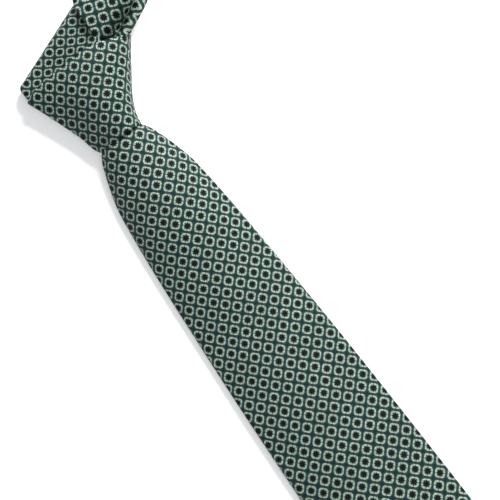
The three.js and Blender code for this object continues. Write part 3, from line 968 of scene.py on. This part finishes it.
# Level across the leg, by the distance from its own line: beside the knot, and 16 mm out.
NEAR_RISE = [
    (-14, 7.0), (-12.2, 11.0), (-10.6, 12.6), (-9.4, 11.0), (-8, 5.5), (-6.4, 2.8), (-4.2, 2.8),
    (-2.6, 5.5), (-0.6, 11.5), (2, 15.5), (6, 18.0), (11, 19.0), (16, 18.0), (21, 15), (26, 12),
]
MIDDLE_RISE = [
    (-14, 10.4), (-11.8, 13.0), (-10, 13.6), (-7.4, 10.0), (-5.4, 8.6), (-3.6, 9.6), (-1, 12.8),
    (3, 15.6), (11, 17.0), (16, 16.6), (21, 15.0), (26, 12.4),
]
LEG_LEVEL = 12.0


def leg_level(s, n):
    """Level of the leg's middle: pleated near the knot, and flat further out."""
    near, middle = smooth(NEAR_RISE, n), smooth(MIDDLE_RISE, n)
    level = mix(mix(near, middle, ease((s + 2) / 18)), LEG_LEVEL, ease((s - 18) / 34))
    under_wrap = 5 * ease((-9 - s) / 9)
    seam = 0.5 * math.exp(-(((JOIN_AT - s) / 1.1) ** 2))
    return level - under_wrap - seam + 0.4 * ripple(s, n, 20, 5.5) * ease(s / 20)


def leg_surface(q, across_share, depth):
    s = mix(-26, JOIN_AT, q**0.9)
    upper, lower = smooth(UPPER_SIDE, s), smooth(LOWER_SIDE, s)
    n = mix(lower, upper, (across_share + 1) / 2)
    slope = (leg_level(s, n + 0.3) - leg_level(s, n - 0.3)) / 0.6
    square = depth / math.sqrt(1 + slope * slope)
    plan = neck_plan(s, n - slope * square)
    return (plan.x, plan.y, leg_level(s, n) + square), s, n


def blade_leg_shell(p, q):
    across, depth, girth = folded(p, NECK_HALF)
    place, s, n = leg_surface(q, across / NECK_HALF, depth)
    return place, on_grain(n + girth - across, s, 0, NECK_STRETCH)


def blade_leg_wool(p, q):
    across = mix(-1, 1, p) * (1 - INTERLINING_INSET / NECK_HALF)
    place, s, n = leg_surface(mix(0.01, 0.995, q), across, INTERLINING_LEVEL)
    return place, (across * NECK_HALF, s)


LEG_WOOL = 0.6
strip_of(
    "blade_leg", "neck_blade_leg", 90, blade_leg_shell, blade_leg_wool, body="knot",
    wool_columns=96, columns=2 * COLUMNS, wool_wall=LEG_WOOL,
)

# --- Neck loop -----------------------------------------------------------------------------------
# The gusset goes round the back of the neck, standing on its edge, and it is sewn to both
# legs by slanted seams. The tail's leg comes back under the blade's leg into the knot.
# All are the same folded strip of silk over interlining.
LOOP_LENGTH = 185
LOOP_WIDE = 44


def on_edge(stand):
    turn = math.radians(stand)
    return NECK_HALF * math.sin(turn) + EDGE * math.cos(turn) + 0.1


class Ribbon:
    """A strip through stations (s, n, level, half width, degrees turned up on its edge)."""

    def __init__(self, stations, seed, seam_run=None):
        self.seed, self.seam_run = seed, seam_run
        plan = [Vector(row[:2]) for row in stations]
        marks = [0.0]
        for a, b in zip(plan, plan[1:]):
            marks.append(marks[-1] + (b - a).length)
        self.length = marks[-1]
        self.tables = [list(zip(marks, column)) for column in zip(*stations)]

    def station(self, along):
        return [smooth(table, along) for table in self.tables]

    def surface(self, share, across, depth):
        along = share * self.length
        s, n, level, half, stand = self.station(along)
        before, after = self.station(along - 0.5), self.station(along + 0.5)
        run = neck_plan(after[0], after[1]) - neck_plan(before[0], before[1])
        run.normalize()
        if self.seam_run:
            run = run.lerp(self.seam_run, 1 - ease(along / SEAM_EASE)).normalized()
        left = Vector((-run.y, run.x, 0))
        turn = math.radians(stand)
        up = Vector((0, 0, 1))
        face = math.cos(turn) * up + math.sin(turn) * left
        cross = math.cos(turn) * left - math.sin(turn) * up
        plan = neck_plan(s, n)
        wave = 0.5 * ripple(along, across * half, 38, self.seed)
        bow = 0.8 * (1 - across**2) * math.sin(turn)
        middle = Vector((plan.x, plan.y, level))
        point = middle + across * half * cross + (depth + bow + wave * math.sin(turn)) * face
        return tuple(point)

    def shell(self, start=0.0, end=1.0):
        def lay(p, q):
            share = mix(start, end, q)
            half = self.station(share * self.length)[3]
            across, depth, girth = folded(p, half)
            place = self.surface(share, across / half, depth)
            return place, on_grain(girth, share * self.length, 0, NECK_STRETCH)

        return lay

    def layer(self, start=0.0, end=1.0, level=INTERLINING_LEVEL):
        def lay(p, q):
            share = mix(start, end, mix(0.004, 0.996, q))
            half = self.station(share * self.length)[3]
            across = mix(-1, 1, p) * (1 - INTERLINING_INSET / half)
            return self.surface(share, across, level), (across * half, share * self.length)

        return lay


TAIL_LEG_LEVEL = 4.7
SEAM_EASE = 26.0  # the gusset turns square to its run over this length
gusset = Ribbon([
    (JOIN_AT + 0.1, 22.8, LEG_LEVEL - 0.5, NECK_HALF, 0),
    (JOIN_AT + 2.5, 24.0, LEG_LEVEL, NECK_HALF, 0),
    (JOIN_AT + 17, 31.0, LEG_LEVEL + 0.6, NECK_HALF, 18),
    (0.53 * LOOP_LENGTH, 0.89 * LOOP_WIDE, 15.5, NECK_HALF, 45),
    (0.68 * LOOP_LENGTH, LOOP_WIDE, on_edge(75) + 0.4, NECK_HALF, 75),
    (0.83 * LOOP_LENGTH, 0.86 * LOOP_WIDE, on_edge(90), NECK_HALF, 90),
    (0.94 * LOOP_LENGTH, 0.55 * LOOP_WIDE, on_edge(90), NECK_HALF, 90),
    (LOOP_LENGTH, 0, on_edge(90), NECK_HALF, 90),
    (0.94 * LOOP_LENGTH, -0.55 * LOOP_WIDE, on_edge(90), NECK_HALF, 90),
    (0.83 * LOOP_LENGTH, -0.86 * LOOP_WIDE, on_edge(90), NECK_HALF, 90),
    (0.69 * LOOP_LENGTH, -0.98 * LOOP_WIDE, on_edge(72) + 0.4, NECK_HALF, 72),
    (0.56 * LOOP_LENGTH, -0.82 * LOOP_WIDE, 13.2, NECK_HALF, 38),
    (JOIN_AT + 21, -22.3, TAIL_LEG_LEVEL + 2.2, NECK_HALF, 10),
    (JOIN_AT + 2.5, -12.9, TAIL_LEG_LEVEL, NECK_HALF, 0),
    (JOIN_AT + 0.1, -11.65, TAIL_LEG_LEVEL - 0.5, NECK_HALF, 0),
], seed=2.2, seam_run=neck_out)
tail_leg = Ribbon([
    (JOIN_AT - 0.1, -11.55, TAIL_LEG_LEVEL - 0.5, NECK_HALF, 0),
    (JOIN_AT - 2.5, -10.3, TAIL_LEG_LEVEL, NECK_HALF, 0),
    (JOIN_AT - 7, -8, TAIL_LEG_LEVEL, NECK_HALF - 2.5, 0),
    (JOIN_AT - 16, -1, TAIL_LEG_LEVEL, 9.5, 0),
    (JOIN_AT - 25, 4, TAIL_LEG_LEVEL, 7.0, 0),
    (JOIN_AT - 42, 5.5, TAIL_LEG_LEVEL, 6.5, 0),
    (-14, 5.5, TAIL_LEG_LEVEL, 6.5, 0),
], seed=4.4)

# The gusset's returning half is built apart and is not attached to any body.
far_end = neck_plan(LOOP_LENGTH, 0)
near_end = neck_plan(JOIN_AT + 4, 0)
drawn_in = ("knot", "tail_leg", at(far_end.x, far_end.y, 10), at(near_end.x, near_end.y, 10))
strip_of(
    "gusset_front", "neck_gusset", 90, gusset.shell(0, 0.5), gusset.layer(0, 0.5),
    body="knot",
)
strip_of(
    "gusset_return", "neck_gusset", 90, gusset.shell(0.5, 1), gusset.layer(0.5, 1),
    body_blend=drawn_in,
)
# The tail's leg runs between the knot and the gusset's seam; it is not attached to any body.
in_knot = neck_plan(-8, 0)
at_seam = neck_plan(JOIN_AT - 4, 0)
gathered = ("knot", "tail_leg", at(in_knot.x, in_knot.y, 5), at(at_seam.x, at_seam.y, 5))
strip_of("tail_leg", "neck_tail_leg", 50, tail_leg.shell(), tail_leg.layer(), body_blend=gathered)

# --- First cross ---------------------------------------------------------------------------------
# The first turn of the front blade, a short length of the same folded strip and interlining.
# It lies inside the knot below the tongue, gripped by the turns round it.
first_cross = Ribbon([
    (-50, 0, 8.6, 7.3, 0),
    (-35, 0, 9.0, 7.3, 0),
    (-17.5, 0, 10.0, 7.3, 0),
], seed=6.6)
strip_of(
    "first_cross", "knot_first_cross", 20, first_cross.shell(), first_cross.layer(), body="knot"
)

# --- Neck loop: seam -----------------------------------------------------------------------------
# The slip stitch that closes the gusset along its back, in a length for each half of the loop.


def gusset_stitch(start, end):
    passes = round(gusset.length * (end - start) / STITCH)

    def route(q):
        across = SEAM_GAP / NECK_HALF * math.sin(2 * math.pi * passes * q)
        sunk = 0.25 * math.cos(4 * math.pi * passes * q)
        return gusset.surface(mix(start, end, q), across, CLOTH / 2 - EDGE + sunk)

    return route, passes * 10


for word, start, end in (("front", 0.02, 0.5), ("return", 0.5, 0.98)):
    route, rows = gusset_stitch(start, end)
    seam = tube_of(f"gusset_{word}_seam_thread", route, THREAD_RADIUS, rows)
    filed(seam, "knot" if word == "front" else None, "neck_slip_stitch")
    if word == "return":
        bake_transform(seam)
